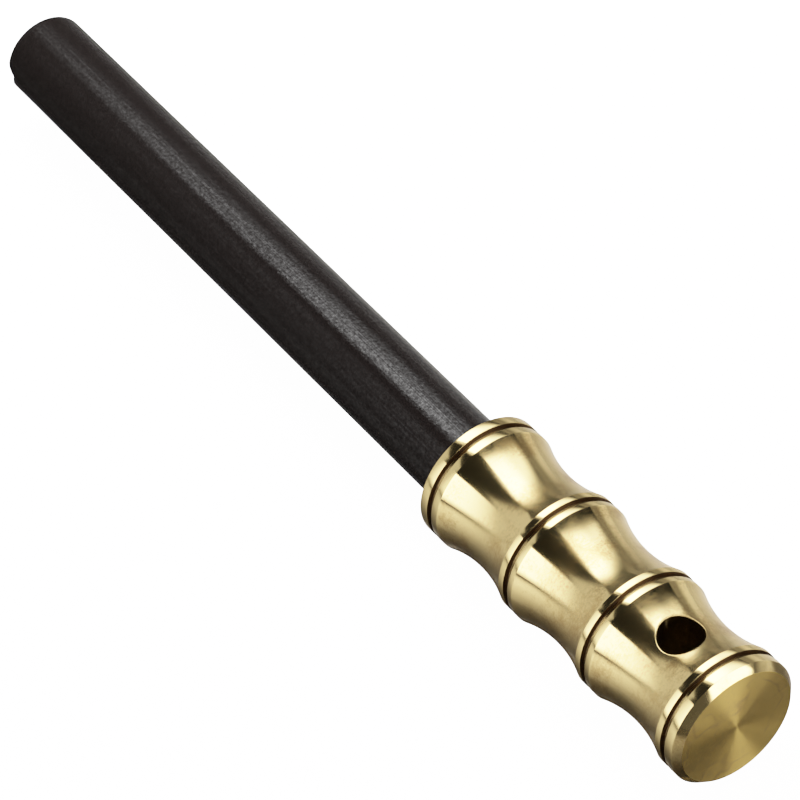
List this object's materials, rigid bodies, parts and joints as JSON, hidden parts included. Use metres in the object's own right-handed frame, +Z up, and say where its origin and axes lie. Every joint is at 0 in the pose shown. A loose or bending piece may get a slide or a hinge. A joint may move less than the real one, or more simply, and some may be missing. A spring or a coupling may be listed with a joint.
{
  "type": "fire striker rod",
  "caption": "Blunt round black striker rod bonded into a turned brass grip with concave waists between grooved rings, a cross hole for a cord and a flat butt.",
  "frame": {"origin": "on the resting plane, under the middle of the tool's length and width", "axes": "+X along the tool's axis towards the grip's butt, +Z up along the cord hole's axis, +Y across the tool"},
  "size_m": [0.1626, 0.019, 0.019],
  "materials": {
    "brass": "fine-turned and lightly polished brass, faint circumferential tool marks, slight tarnish",
    "black_rod": "semi-gloss black coating over the rod, with fine lengthwise drawing marks",
    "epoxy": "cured two-part epoxy, hidden inside the socket"
  },
  "bodies": {
    "root": {"brass_grip": "brass", "striker_rod": "black_rod", "epoxy_bond": "epoxy"}
  },
  "joints": []
}
